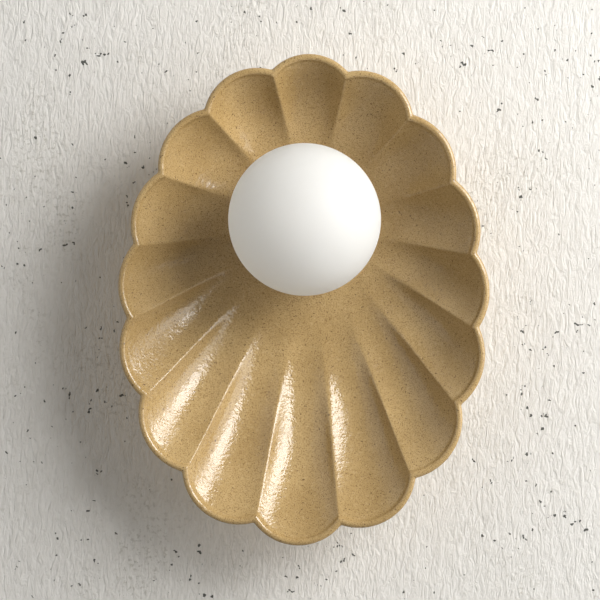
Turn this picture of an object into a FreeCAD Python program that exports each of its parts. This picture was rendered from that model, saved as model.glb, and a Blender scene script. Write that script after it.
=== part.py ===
import FreeCAD, Part
import math
import os
import re

import Sketcher

# A wall light: a fluted shell dish of glazed stoneware, held on a steel wall plate, with an
# opal glass globe in front of it. Origin: the wall plane, on the globe's axis. X to the right,
# Z up, and the front faces -Y. "Depth" is the distance in front of the wall, so y = -depth.

os.makedirs("parts", exist_ok=True)
doc = FreeCAD.newDocument("shell_sconce")
sheet = doc.addObject("Spreadsheet::Sheet", "sizes")

# ---------------------------------------------------------------- driving dimensions (mm)
driving = [
    # the shell: 16 lobes whose outer notches lie on an egg-shaped oval
    ("rim_half_width", 117.0),       # from the oval's centre to the notch line, sideways
    ("rim_half_height", 154.2),      # the same, upwards
    ("rim_egg", 0.023),              # how much narrower the oval is above than below
    ("globe_above_centre", 51.4),    # the globe's axis lies this far above the oval's centre
    ("notch_crowding", 3.2),         # degrees that the notches move up, most at the sides
    ("notch_spread", 5.4),           # degrees that they move from both ends to the sides
    ("lobe_half_angle", 49.0),       # half the arc of a middling lobe at the rim, in degrees
    ("lobe_droop", 2.8),             # degrees that lobes bulge more below and less above
    ("lobe_ends", 9.1),              # degrees that they bulge more at the ends than the sides
    ("flute_swell", 1.2),            # how much rounder the flutes are where they are deepest
    ("flute_deepest", 0.76),         # share of the way out from the axis to the rim
    ("flute_start", 0.34),           # share of the way where the ribs fade out
    ("flat_floor", 0.23),            # share of the way that stays flat
    ("bowl_power", 2.2),             # how late the bowl rises
    ("rim_depth", 74.0),             # wall to the top of the lip
    ("lip_width", 4.6),
    ("shell_wall", 6.0),
    ("floor_depth", 27.0),           # wall to the floor's front face
    ("foot_radius", 60.0),
    ("foot_wall", 6.0),
    ("side_screw_depth", 10.0),
    # wall plate
    ("plate_gap", 2.0),              # the foot's inside to the plate's edge
    ("plate_sheet", 1.5),
    ("slot_spacing", 60.0),
    ("slot_width", 5.0),
    ("slot_length", 14.0),
    ("cable_hole_radius", 9.0),
    ("ear_width", 14.0),
    ("ear_reach", 16.0),             # wall to the ear's front edge
    ("ear_inset", 2.5),              # plate's edge to the ear's outer face
    ("bush_flange", 2.5),
    ("bush_wall", 1.8),
    ("bush_lip", 1.5),
    # centre stack
    ("nipple_radius", 5.0),
    ("nipple_bore_radius", 4.0),
    ("nipple_overhang", 1.5),        # how far the nipple stands out of its nuts
    ("washer_radius", 15.0),
    ("washer_sheet", 1.5),
    ("gasket_sheet", 1.0),
    ("lock_washer_radius", 8.5),
    ("nut_across_flats", 14.0),
    ("nut_height", 3.0),
    # cup and lampholder
    ("cup_radius", 16.0),
    ("cup_wall", 1.5),
    ("cup_height", 14.0),
    ("cup_flange_radius", 21.0),
    ("bracket_sheet", 1.0),
    ("bracket_height", 10.0),
    ("bracket_width", 14.0),
    ("bracket_half_span", 10.8),     # axis to the outer face of the bracket's legs
    ("bracket_foot", 5.6),           # how far the feet turn in
    ("holder_radius", 10.5),
    ("holder_length", 18.0),
    ("pin_spacing", 9.0),
    ("holder_screw_spacing", 14.4),
    ("socket_depth", 13.0),
    ("socket_width", 3.0),
    ("socket_height", 6.0),
    ("contact_sheet", 0.4),
    ("contact_length", 9.5),
    ("contact_width", 4.0),
    # globe
    ("globe_radius", 50.0),
    ("globe_wall", 3.0),
    ("globe_depth", 86.0),           # wall to the globe's centre
    ("neck_wall", 3.2),
    ("seal_sheet", 1.5),
    # lamp
    ("lamp_radius", 8.0),
    ("lamp_base_length", 9.0),
    ("lamp_base_chamfer", 1.0),
    ("lamp_length", 50.0),
    ("lamp_cover_wall", 1.0),
    ("lamp_board_width", 9.0),
    ("lamp_board_sheet", 1.2),
    ("lamp_pin_reach", 6.5),
    ("lamp_pin_width", 3.6),
    ("lamp_pin_wire", 0.45),         # radius of the pin's wire
    # wiring
    ("lead_radius", 1.0),
    ("lead_depth", 6.5),             # wall to the middle of the leads behind the shell
    ("lead_offset", 1.8),            # axis to the middle of each lead in the nipple
    ("lead_entry", 6.0),             # straight run before the block
    ("earth_entry", 8.0),
    ("earth_bow", 2.0),              # how far the earth lead bows out on its way to the tag
    ("earth_rise", 9.0),             # straight run above the tag's barrel
    ("block_pitch", 9.0),
    ("block_near_side", 22.0),       # axis to the side of the block that the leads enter
    ("block_length", 29.0),
    ("block_width", 16.0),
    ("block_height", 13.0),
    ("block_recess", 3.0),           # block's front to the seat of its screws
    ("clamp_wall", 1.0),
    ("clamp_inset", 2.0),            # block's side to the end of a clamp
    ("earth_point_x", -15.0),
    ("earth_point_z", -28.0),
    ("tag_radius", 4.5),
    ("tag_sheet", 0.8),
    ("tag_barrel_length", 6.0),
    ("tag_reach", 11.0),             # earth point to the near end of the tag's barrel
    # fasteners
    ("side_screw_radius", 2.0),
    ("side_head_radius", 5.0),
    ("side_head_length", 8.0),
    ("side_screw_grip", 4.5),        # ear's outer face to the screw's tip
    ("holder_screw_radius", 1.5),
    ("holder_head_radius", 2.5),
    ("holder_head_length", 2.0),
    ("clamp_screw_radius", 1.1),
    ("clamp_screw_length", 4.3),
    ("block_screw_radius", 1.5),
    ("block_head_radius", 2.6),
    ("block_head_length", 2.0),
    ("earth_screw_radius", 2.0),
    ("earth_head_radius", 3.8),
    ("earth_head_length", 2.4),
    # clearances
    ("thread_gap", 0.10),            # running fit of the globe's neck on the cup
    ("screw_gap", 0.05),             # a screw in its thread, radially
    ("pass_gap", 0.50),              # anything in a free hole, radially
    ("seat_gap", 0.30),              # between pieces that move apart
]

# sizes that follow from the ones above
derived = [
    ("plate_radius", "=foot_radius - foot_wall - plate_gap"),
    ("floor_back", "=floor_depth - shell_wall"),
    ("ear_outer", "=plate_radius - ear_inset"),
    ("bush_bore_radius", "=cable_hole_radius - bush_wall"),
    ("back_stack", "=gasket_sheet + washer_sheet + washer_sheet + nut_height"),
    ("nipple_back", "=floor_back - back_stack - nipple_overhang"),
    ("cup_base", "=floor_depth + gasket_sheet"),
    ("cup_floor", "=cup_base + cup_wall"),
    ("cup_mouth", "=cup_base + cup_height"),
    ("nipple_front", "=cup_floor + bracket_sheet + nut_height + nipple_overhang"),
    ("bracket_front", "=cup_floor + bracket_height"),
    ("holder_front", "=bracket_front + holder_length"),
    ("socket_floor", "=holder_front - socket_depth"),
    ("neck_bore_radius", "=cup_radius + thread_gap"),
    ("neck_radius", "=neck_bore_radius + neck_wall"),
    ("neck_back", "=cup_floor + seal_sheet"),
    ("lamp_back", "=holder_front + seat_gap"),
    ("lamp_base_front", "=lamp_back + lamp_base_length"),
    ("lamp_front", "=lamp_back + lamp_length"),
    ("clamp_bore_radius", "=lead_radius + seat_gap"),
    ("clamp_radius", "=clamp_bore_radius + clamp_wall"),
    ("block_far_side", "=block_near_side + block_width"),
    ("block_front", "=plate_sheet + block_height"),
    ("tag_barrel_radius", "=lead_radius + screw_gap + tag_sheet"),
    ("tag_barrel_depth", "=plate_sheet + tag_barrel_radius"),
]

for line, (name, value) in enumerate(driving + derived, start=1):
    sheet.set("A%d" % line, name)
    sheet.set("B%d" % line, str(value))
    sheet.setAlias("B%d" % line, name)
doc.recompute()


def size(expression):
    # the number that an expression of sheet sizes stands for
    return float(sheet.evalExpression(expression))


def bind(thing, field, expression):
    # ties a field to sheet sizes; the sheet's words get its name in front of them
    thing.setExpression(field, re.sub(r"\b([a-z]+_[a-z_]+)\b", r"sizes.\1", expression))


def at(x, depth, z):
    return FreeCAD.Vector(x, -depth, z)


toFront = FreeCAD.Rotation(FreeCAD.Vector(1, 0, 0), 90)      # turns a piece's Z to face the front
toRight = FreeCAD.Rotation(FreeCAD.Vector(0, 1, 0), 90)      # turns a piece's Z to the right
upright = FreeCAD.Rotation()
kept = []
pockets = []


def keep(piece, label):
    piece.Label = label
    kept.append(piece)
    return piece


# ---------------------------------------------------------------- sketches and features
def new_body(name):
    return keep(doc.addObject("PartDesign::Body", name), name)


def new_sketch(owner, name, role, depth="0"):
    # XZ: seen from the front, at a depth. XY: radius and depth. YZ: depth and height.
    sketch = owner.newObject("Sketcher::SketchObject", name)
    origin_plane = [one for one in owner.Origin.OriginFeatures if one.Role == role + "_Plane"][0]
    sketch.AttachmentSupport = [(origin_plane, "")]
    sketch.MapMode = "FlatFace"
    if role == "XY":
        sketch.AttachmentOffset = FreeCAD.Placement(at(0, 0, 0), FreeCAD.Rotation(at(1, 0, 0), 180))
    if role == "YZ":
        flip = FreeCAD.Rotation(FreeCAD.Vector(0, 1, 0), 180)
        sketch.AttachmentOffset = FreeCAD.Placement(at(0, 0, 0), flip)
    if role == "XZ":
        bind(sketch, "AttachmentOffset.Base.z", depth)
    return sketch


def pin(sketch, shape, point, across, along):
    # fixes one point of a sketch at sheet sizes from the sketch's origin
    for kind, text, axis in (("DistanceX", across, -2), ("DistanceY", along, -1)):
        value = size(text)
        if abs(value) < 1e-9:
            sketch.addConstraint(Sketcher.Constraint("PointOnObject", shape, point, axis))
        else:
            row = sketch.addConstraint(Sketcher.Constraint(kind, -1, 1, shape, point, value))
            bind(sketch, "Constraints[%d]" % row, text)


def draw_polygon(sketch, corners):
    spots = [FreeCAD.Vector(size(across), size(along), 0) for across, along in corners]
    first = sketch.GeometryCount
    for here, there in zip(spots, spots[1:] + spots[:1]):
        sketch.addGeometry(Part.LineSegment(here, there), False)
    for place, (across, along) in enumerate(corners):
        following = first + (place + 1) % len(corners)
        sketch.addConstraint(Sketcher.Constraint("Coincident", first + place, 2, following, 1))
        pin(sketch, first + place, 1, across, along)


def draw_circle(sketch, across, along, radius):
    centre = FreeCAD.Vector(size(across), size(along), 0)
    ring = sketch.addGeometry(Part.Circle(centre, FreeCAD.Vector(0, 0, 1), size(radius)), False)
    pin(sketch, ring, 3, across, along)
    row = sketch.addConstraint(Sketcher.Constraint("Radius", ring, size(radius)))
    bind(sketch, "Constraints[%d]" % row, radius)


def draw_slot(sketch, across, along, length, width):
    # a slot along X with round ends
    radius = "(%s) / 2" % width
    reach = "((%s) - (%s)) / 2" % (length, width)
    ends = []
    for sign, start in (("+", -90), ("-", 90)):
        middle = "(%s) %s %s" % (across, sign, reach)
        centre = FreeCAD.Vector(size(middle), size(along), 0)
        circle = Part.Circle(centre, FreeCAD.Vector(0, 0, 1), size(radius))
        arc = Part.ArcOfCircle(circle, math.radians(start), math.radians(start + 180))
        end = sketch.addGeometry(arc, False)
        pin(sketch, end, 3, middle, along)
        row = sketch.addConstraint(Sketcher.Constraint("Radius", end, size(radius)))
        bind(sketch, "Constraints[%d]" % row, radius)
        ends.append(end)
    right, left = ends
    for tail, head in ((right, left), (left, right)):
        start = sketch.getPoint(tail, 2)
        stop = sketch.getPoint(head, 1)
        side = sketch.addGeometry(Part.LineSegment(start, stop), False)
        sketch.addConstraint(Sketcher.Constraint("Tangent", tail, 2, side, 1))
        sketch.addConstraint(Sketcher.Constraint("Tangent", side, 2, head, 1))


def revolve(owner, sketch):
    turned = owner.newObject("PartDesign::Revolution", owner.Name + "_turned")
    turned.Profile = sketch
    turned.ReferenceAxis = (sketch, ["V_Axis"])
    turned.Angle = 360
    return turned


def turn_profile(name, corners):
    # a piece turned about the globe's axis, from (radius, depth) corners
    owner = new_body(name)
    sketch = new_sketch(owner, name + "_profile", "XY")
    draw_polygon(sketch, corners)
    revolve(owner, sketch)
    return owner


def pad(owner, sketch, length, both_ways=False):
    made = owner.newObject("PartDesign::Pad", sketch.Name + "_pad")
    made.Profile = sketch
    made.Midplane = both_ways
    bind(made, "Length", length)
    return made


def pocket(owner, sketch, length, both_ways=False):
    before = owner.Tip
    made = owner.newObject("PartDesign::Pocket", sketch.Name + "_pocket")
    made.Profile = sketch
    made.Midplane = both_ways
    bind(made, "Length", length)
    pockets.append((before, made))
    return made


# ---------------------------------------------------------------- primitives and booleans
def place(piece, x, depth, z, turn):
    piece.Placement = FreeCAD.Placement(at(size(x), size(depth), size(z)), turn)
    bind(piece, "Placement.Base.x", x)
    bind(piece, "Placement.Base.y", "-(%s)" % depth)
    bind(piece, "Placement.Base.z", z)


def rod(name, radius, x, depth, z, length, turn=toFront):
    made = doc.addObject("Part::Cylinder", name)
    bind(made, "Radius", radius)
    bind(made, "Height", length)
    place(made, x, depth, z, turn)
    return made


def block(name, x, depth, z, wide, deep, high):
    # a box from its left, rear and lower sides
    made = doc.addObject("Part::Box", name)
    bind(made, "Length", wide)
    bind(made, "Width", deep)
    bind(made, "Height", high)
    place(made, x, "(%s) + (%s)" % (depth, deep), z, upright)
    return made


def fuse(name, pieces):
    made = doc.addObject("Part::MultiFuse", name)
    made.Shapes = pieces
    return made


def cut(name, base, tool):
    made = doc.addObject("Part::Cut", name)
    made.Base = base
    made.Tool = tool
    return made


def group(name, pieces):
    made = doc.addObject("Part::Compound", name)
    made.Links = pieces
    return keep(made, name)


# ---------------------------------------------------------------- the shell dish
lobes = 16
# shares of the way from the globe's axis to the rim where the bowl and its back get level lines
hollow_levels = [0.35, 0.48, 0.62, 0.76, 0.88, 1.0]
skin_levels = [0.5, 0.75, 0.9, 1.0]
lip_turns = [0, 40, 80]              # degrees round the lip; the last is its top


def ease(share):
    share = min(max(share, 0.0), 1.0)
    return share * share * (3 - 2 * share)


def rim_notches():
    # the outer notches, seen from the globe's axis; they crowd a little to the sides
    notches = []
    for lobe in range(lobes):
        even = (lobe + 0.5) * 360 / lobes
        lift = size("notch_crowding") * math.sin(math.radians(even))
        spread = size("notch_spread") * math.sin(math.radians(2 * even))
        turn = math.radians(even - lift + spread)
        narrowing = 1 - size("rim_egg") * math.cos(turn)
        x = size("rim_half_width") * math.sin(turn) * narrowing
        z = size("rim_half_height") * math.cos(turn) - size("globe_above_centre")
        notches.append(FreeCAD.Vector(x, 0, z))
    return notches


def neighbours(points, place):
    return points[place - 1], points[place], points[(place + 1) % len(points)]


def turning(before, corner, after):
    return math.degrees((corner - before).getAngle(after - corner))


def outward(before, corner, after):
    # the unit vector that halves the corner, away from the axis
    side = (corner - before).normalize() + (after - corner).normalize()
    return FreeCAD.Vector(-side.z, 0, side.x).normalize()


def kink_factor(half_angle, corner_turn):
    # how much faster a notch moves than the arcs beside it when the loop is offset
    return 1 / math.cos(math.radians(half_angle - corner_turn / 2))


def rim_half_angle(lobe):
    # lobe 0 is the one at the top
    turn = math.radians(lobe * 360 / lobes)
    ends = size("lobe_ends") * math.cos(2 * turn)
    return size("lobe_half_angle") - size("lobe_droop") * math.cos(turn) + ends


def inner_notches():
    points = rim_notches()
    moved = []
    for lobe in range(lobes):
        before, corner, after = neighbours(points, lobe)
        factor = kink_factor(rim_half_angle(lobe + 0.5), turning(before, corner, after))
        moved.append(corner - outward(before, corner, after) * size("lip_width") * factor)
    return moved


rim_inside = inner_notches()


def half_angle_at(share, lobe, plain):
    # half the arc of a lobe: plain oval near the floor, deepest flutes below the rim
    deepest = size("flute_deepest")
    start = size("flute_start")
    at_rim = rim_half_angle(lobe)
    swollen = at_rim * size("flute_swell")
    if share < deepest:
        return plain + (swollen - plain) * ease((share - start) / (deepest - start))
    return swollen + (at_rim - swollen) * ease((share - deepest) / (1 - deepest))


def depth_at(share):
    # the bowl's surface: a flat floor, then an ever steeper rise to the lip
    start = size("flat_floor")
    rise = max(share - start, 0) / (1 - start)
    top = size("rim_depth - lip_width / 2")
    return size("floor_depth") + (top - size("floor_depth")) * rise ** size("bowl_power")


def slope_at(share):
    step = 0.001
    reach = size("(rim_half_width + rim_half_height) / 2")
    return math.atan((depth_at(share) - depth_at(share - step)) / (step * reach))


def lobed_loop(name, share, spread, depth):
    # one level line of the shell: 16 arcs through notches and crests, spread outwards
    points = [point * share for point in rim_inside]
    notches = []
    crests = []
    for lobe in range(lobes):
        before, corner, after = neighbours(points, lobe)
        corner_turn = turning(before, corner, after)
        at_notch = half_angle_at(share, lobe + 0.5, corner_turn / 2)
        factor = kink_factor(at_notch, corner_turn)
        notches.append(corner + outward(before, corner, after) * spread * factor)
        chord = corner - before
        half_angle = half_angle_at(share, lobe, corner_turn / 2)
        bulge = chord.Length / 2 * math.tan(math.radians(half_angle / 2))
        away = FreeCAD.Vector(-chord.z, 0, chord.x).normalize()
        crests.append((before + corner) * 0.5 + away * (bulge + spread))
    lift = at(0, depth, 0)
    arcs = []
    for lobe in range(lobes):
        arc = Part.Arc(notches[lobe - 1] + lift, crests[lobe] + lift, notches[lobe] + lift)
        arcs.append(arc.toShape())
    loop = doc.addObject("Part::Feature", name)
    loop.Shape = Part.Wire(arcs)
    return loop


def loft(name, loops):
    made = doc.addObject("Part::Loft", name)
    made.Sections = loops
    made.Solid = True
    made.Ruled = True
    return made


def make_shell():
    start = size("flat_floor")
    hollow_loops = []
    for level, share in enumerate([start] + hollow_levels):
        hollow_loops.append(lobed_loop("hollow_loop_%d" % level, share, 0, depth_at(share)))
    skin_loops = []
    for level, share in enumerate([start] + skin_levels):
        tilt = slope_at(share)
        spread = size("shell_wall") * math.sin(tilt)
        back = depth_at(share) - size("shell_wall") * math.cos(tilt)
        skin_loops.append(lobed_loop("skin_loop_%d" % level, share, spread, back))
    lip = size("lip_width / 2")
    lip_base = size("rim_depth") - lip
    skin_loops.append(lobed_loop("skin_loop_lip", 1.0, 2 * lip, lip_base))
    lip_outside = []
    lip_inside = []
    for step, degrees in enumerate(lip_turns):
        angle = math.radians(degrees)
        rise = lip_base + lip * math.sin(angle) / math.sin(math.radians(lip_turns[-1]))
        outer_spread = lip + lip * math.cos(angle)
        inner_spread = lip - lip * math.cos(angle)
        lip_outside.append(lobed_loop("lip_outer_loop_%d" % step, 1.0, outer_spread, rise))
        lip_inside.append(lobed_loop("lip_inner_loop_%d" % step, 1.0, inner_spread, rise))
    skin = loft("shell_skin", skin_loops)
    hollow = loft("shell_hollow", hollow_loops)
    lip_skin = loft("lip_skin", lip_outside)
    lip_hollow = loft("lip_hollow", lip_inside)
    # the foot reaches into the rising bowl; the hollow trims what stands out in front
    foot = rod("foot_disc", "foot_radius", "0", "0", "0", "floor_depth + 2 * shell_wall")
    foot_bore = rod("foot_bore", "foot_radius - foot_wall", "0", "0", "0", "floor_back")
    centre_hole = rod("centre_hole", "nipple_radius + pass_gap", "0", "floor_back - 1", "0",
                      "shell_wall + 2")
    side_hole = rod("side_holes", "side_screw_radius + pass_gap", "-foot_radius - 1",
                    "side_screw_depth", "0", "2 * foot_radius + 2", toRight)
    solid = fuse("shell_solid", [skin, lip_skin, foot])
    spaces = fuse("shell_spaces", [hollow, lip_hollow, foot_bore, centre_hole, side_hole])
    return keep(cut("shell", solid, spaces), "shell")


make_shell()


# ---------------------------------------------------------------- wall plate
def make_wall_plate():
    plate = new_body("wall_plate")
    disc = new_sketch(plate, "plate_disc", "XZ")
    draw_circle(disc, "0", "0", "plate_radius")
    pad(plate, disc, "plate_sheet")
    doc.recompute()
    holes = new_sketch(plate, "plate_holes", "XZ")
    draw_circle(holes, "0", "0", "cable_hole_radius")
    for side in ("-", "+"):
        draw_slot(holes, "%sslot_spacing / 2" % side, "0", "slot_length", "slot_width")
        draw_circle(holes, "%sblock_pitch / 2" % side, "block_near_side + block_width / 2",
                    "block_screw_radius + screw_gap")
    draw_circle(holes, "earth_point_x", "earth_point_z", "earth_screw_radius + screw_gap")
    for side in ("-", "+"):
        near = "%sear_outer" % side
        far = "%s(plate_radius + 1)" % side
        half = "ear_width / 2 + plate_sheet"
        draw_polygon(holes, [(near, "-(%s)" % half), (far, "-(%s)" % half), (far, half), (near, half)])
    pocket(plate, holes, "2 * plate_sheet", True)
    doc.recompute()
    ears = new_sketch(plate, "plate_ears", "XZ")
    for side in ("-", "+"):
        near = "%s(ear_outer - plate_sheet)" % side
        far = "%sear_outer" % side
        half = "ear_width / 2"
        draw_polygon(ears, [(near, "-%s" % half), (far, "-%s" % half), (far, half), (near, half)])
    pad(plate, ears, "ear_reach")
    doc.recompute()
    threads = new_sketch(plate, "ear_threads", "YZ")
    draw_circle(threads, "side_screw_depth", "0", "side_screw_radius + screw_gap")
    pocket(plate, threads, "2 * plate_radius", True)


make_wall_plate()

turn_profile("plate_grommet", [
    ("bush_bore_radius", "0"),
    ("cable_hole_radius", "0"),
    ("cable_hole_radius", "plate_sheet"),
    ("cable_hole_radius + bush_flange", "plate_sheet"),
    ("cable_hole_radius + bush_flange", "plate_sheet + bush_lip"),
    ("bush_bore_radius", "plate_sheet + bush_lip"),
])


def make_side_screws():
    screws = []
    for side, sign, way in (("left", "-", -1), ("right", "+", 1)):
        turn = FreeCAD.Rotation(FreeCAD.Vector(0, 1, 0), 90 * way)
        tip = "%s(ear_outer - side_screw_grip)" % sign
        shank = rod("side_shank_" + side, "side_screw_radius", tip, "side_screw_depth", "0",
                    "foot_radius - ear_outer + side_screw_grip", turn)
        head = rod("side_head_" + side, "side_head_radius", "%sfoot_radius" % sign,
                   "side_screw_depth", "0", "side_head_length", turn)
        screws.append(fuse("side_screw_" + side, [shank, head]))
    group("side_screws", screws)


make_side_screws()

# ---------------------------------------------------------------- stack on the nipple
turn_profile("nipple", [
    ("nipple_bore_radius", "nipple_back"),
    ("nipple_radius", "nipple_back"),
    ("nipple_radius", "nipple_front"),
    ("nipple_bore_radius", "nipple_front"),
])


def make_washer(name, hole, radius, rear, sheet):
    inner = "nipple_radius + %s" % hole
    front = "%s + %s" % (rear, sheet)
    turn_profile(name, [(inner, rear), (radius, rear), (radius, front), (inner, front)])


make_washer("back_gasket", "pass_gap", "washer_radius", "floor_back - gasket_sheet",
            "gasket_sheet")
make_washer("back_washer", "screw_gap", "washer_radius",
            "floor_back - gasket_sheet - washer_sheet", "washer_sheet")
make_washer("lock_washer", "screw_gap", "lock_washer_radius",
            "floor_back - gasket_sheet - 2 * washer_sheet", "washer_sheet")
make_washer("front_gasket", "pass_gap", "cup_flange_radius", "floor_depth", "gasket_sheet")


def make_nut(name, rear):
    hexagon = doc.addObject("Part::Prism", name + "_hexagon")
    hexagon.Polygon = 6
    bind(hexagon, "Circumradius", "nut_across_flats / sqrt(3)")
    bind(hexagon, "Height", "nut_height")
    place(hexagon, "0", rear, "0", toFront)
    bore = rod(name + "_bore", "nipple_radius + screw_gap", "0", "%s - 1" % rear, "0",
               "nut_height + 2")
    keep(cut(name, hexagon, bore), name)


make_nut("hex_nut", "floor_back - back_stack")
make_nut("cup_nut", "cup_floor + bracket_sheet")

turn_profile("socket_cup", [
    ("nipple_radius + screw_gap", "cup_base"),
    ("cup_flange_radius", "cup_base"),
    ("cup_flange_radius", "cup_floor"),
    ("cup_radius", "cup_floor"),
    ("cup_radius", "cup_mouth"),
    ("cup_radius - cup_wall", "cup_mouth"),
    ("cup_radius - cup_wall", "cup_floor"),
    ("nipple_radius + screw_gap", "cup_floor"),
])


def make_holder_bracket():
    # a strip bent into a shallow U, whose feet turn in to carry the lampholder
    bracket = new_body("holder_bracket")
    strip = new_sketch(bracket, "bracket_strip", "YZ")
    base = "cup_floor"
    inner_base = "cup_floor + bracket_sheet"
    foot = "bracket_front - bracket_sheet"
    outer = "bracket_half_span"
    inner = "bracket_half_span - bracket_sheet"
    toe = "bracket_half_span - bracket_foot"
    upper = [(base, outer), ("bracket_front", outer), ("bracket_front", toe), (foot, toe),
             (foot, inner), (inner_base, inner)]
    lower = [(depth, "-(%s)" % height) for depth, height in reversed(upper)]
    draw_polygon(strip, upper + lower)
    pad(bracket, strip, "bracket_width", True)
    doc.recompute()
    holes = new_sketch(bracket, "bracket_holes", "XZ", "cup_floor")
    draw_circle(holes, "0", "0", "nipple_radius + screw_gap")
    pocket(bracket, holes, "3 * bracket_sheet", True)
    doc.recompute()
    threads = new_sketch(bracket, "bracket_threads", "XZ", "bracket_front")
    for side in ("-", "+"):
        draw_circle(threads, "0", "%sholder_screw_spacing / 2" % side,
                    "holder_screw_radius + screw_gap")
    pocket(bracket, threads, "3 * bracket_sheet", True)


make_holder_bracket()


# ---------------------------------------------------------------- lampholder
def make_lampholder():
    holder = new_body("lampholder")
    disc = new_sketch(holder, "holder_disc", "XZ", "bracket_front")
    draw_circle(disc, "0", "0", "holder_radius")
    pad(holder, disc, "holder_length")
    doc.recompute()
    sockets = new_sketch(holder, "holder_sockets", "XZ", "holder_front")
    for side in ("-", "+"):
        near = "%s(pin_spacing / 2 - socket_width / 2)" % side
        far = "%s(pin_spacing / 2 + socket_width / 2)" % side
        half = "socket_height / 2"
        draw_polygon(sockets, [(near, "-" + half), (far, "-" + half), (far, half), (near, half)])
    pocket(holder, sockets, "socket_depth")
    doc.recompute()
    lead_holes = new_sketch(holder, "holder_lead_holes", "XZ", "bracket_front")
    for side in ("-", "+"):
        draw_circle(lead_holes, "%spin_spacing / 2" % side, "0", "lead_radius + seat_gap")
    pocket(holder, lead_holes, "2 * (holder_length - socket_depth + 1)", True)
    doc.recompute()
    screw_holes = new_sketch(holder, "holder_screw_holes", "XZ", "holder_front")
    for side in ("-", "+"):
        draw_circle(screw_holes, "0", "%sholder_screw_spacing / 2" % side,
                    "holder_screw_radius + screw_gap")
    pocket(holder, screw_holes, "2 * holder_length + 1", True)
    doc.recompute()
    recesses = new_sketch(holder, "holder_head_recesses", "XZ", "holder_front")
    for side in ("-", "+"):
        draw_circle(recesses, "0", "%sholder_screw_spacing / 2" % side,
                    "holder_head_radius + seat_gap")
    pocket(holder, recesses, "2 * (holder_head_length + 1)", True)


make_lampholder()


def make_holder_contacts():
    clips = []
    outer = "(socket_width - 2 * screw_gap)"
    high = "contact_width"
    for name, sign in (("left", "-"), ("right", "+")):
        left = "%spin_spacing / 2 - %s / 2" % (sign, outer)
        channel = block("contact_outer_" + name, left, "socket_floor", "-%s / 2" % high,
                        outer, "contact_length", high)
        gap = block("contact_gap_" + name, "%s + contact_sheet" % left,
                    "socket_floor + contact_sheet", "-%s / 2 - 1" % high,
                    "%s - 2 * contact_sheet" % outer, "contact_length", "%s + 2" % high)
        clips.append(cut("contact_" + name, channel, gap))
    group("holder_contacts", clips)


make_holder_contacts()


def make_screw(name, x, z, tip, seat, radius, head_radius, head_length):
    # a screw along the depth axis: its head's underside lies at the seat
    shank = rod(name + "_shank", radius, x, tip, z, "(%s) - (%s)" % (seat, tip))
    head = rod(name + "_head", head_radius, x, seat, z, head_length)
    return fuse(name, [shank, head])


def make_holder_screws():
    screws = []
    for name, sign in (("lower", "-"), ("upper", "+")):
        screws.append(make_screw("holder_screw_" + name, "0", sign + "holder_screw_spacing / 2",
                                 "bracket_front - 2 * bracket_sheet",
                                 "holder_front - holder_head_length - 1", "holder_screw_radius",
                                 "holder_head_radius", "holder_head_length"))
    group("holder_screws", screws)


make_holder_screws()

# ---------------------------------------------------------------- globe
turn_profile("globe_seal", [
    ("cup_radius + seat_gap", "cup_floor"),
    ("neck_radius", "cup_floor"),
    ("neck_radius", "neck_back"),
    ("cup_radius + seat_gap", "neck_back"),
])


def make_globe():
    globe = new_body("globe_glass")
    sketch = new_sketch(globe, "globe_profile", "XY")
    middle = size("globe_depth")
    centre = FreeCAD.Vector(0, middle, 0)
    arcs = []
    rings = (("globe_radius", "neck_radius"), ("globe_radius - globe_wall", "neck_bore_radius"))
    for radius, neck in rings:
        circle = Part.Circle(centre, FreeCAD.Vector(0, 0, 1), size(radius))
        start = -math.acos(size(neck) / size(radius))
        arcs.append(sketch.addGeometry(Part.ArcOfCircle(circle, start, math.pi / 2), False))
    outer, inner = arcs
    spots = [sketch.getPoint(outer, 1), FreeCAD.Vector(size("neck_radius"), size("neck_back"), 0),
             FreeCAD.Vector(size("neck_bore_radius"), size("neck_back"), 0),
             sketch.getPoint(inner, 1)]
    sides = []
    for here, there in zip(spots, spots[1:]):
        sides.append(sketch.addGeometry(Part.LineSegment(here, there), False))
    wall = Part.LineSegment(sketch.getPoint(inner, 2), sketch.getPoint(outer, 2))
    pole = sketch.addGeometry(wall, False)
    joined = [(outer, 1, sides[0], 1), (sides[0], 2, sides[1], 1), (sides[1], 2, sides[2], 1),
              (sides[2], 2, inner, 1), (inner, 2, pole, 1), (pole, 2, outer, 2)]
    for first, end, second, start in joined:
        sketch.addConstraint(Sketcher.Constraint("Coincident", first, end, second, start))
    for arc, (radius, neck) in zip(arcs, rings):
        pin(sketch, arc, 3, "0", "globe_depth")
        row = sketch.addConstraint(Sketcher.Constraint("Radius", arc, size(radius)))
        bind(sketch, "Constraints[%d]" % row, radius)
        sketch.addConstraint(Sketcher.Constraint("PointOnObject", arc, 2, -2))
    pin(sketch, sides[1], 1, "neck_radius", "neck_back")
    pin(sketch, sides[1], 2, "neck_bore_radius", "neck_back")
    sketch.addConstraint(Sketcher.Constraint("Vertical", sides[0]))
    sketch.addConstraint(Sketcher.Constraint("Vertical", sides[2]))
    revolve(globe, sketch)


make_globe()


# ---------------------------------------------------------------- lamp
def sweep(name, path, start, along, radius):
    ring = Part.Wire([Part.Circle(start, along, radius).toShape()])
    made = doc.addObject("Part::Feature", name)
    made.Shape = Part.Wire(path).makePipeShell([ring], True, True)
    return made


turn_profile("bulb_base", [
    ("0", "lamp_back"),
    ("lamp_radius - lamp_base_chamfer", "lamp_back"),
    ("lamp_radius", "lamp_back + lamp_base_chamfer"),
    ("lamp_radius", "lamp_base_front"),
    ("0", "lamp_base_front"),
])


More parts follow.
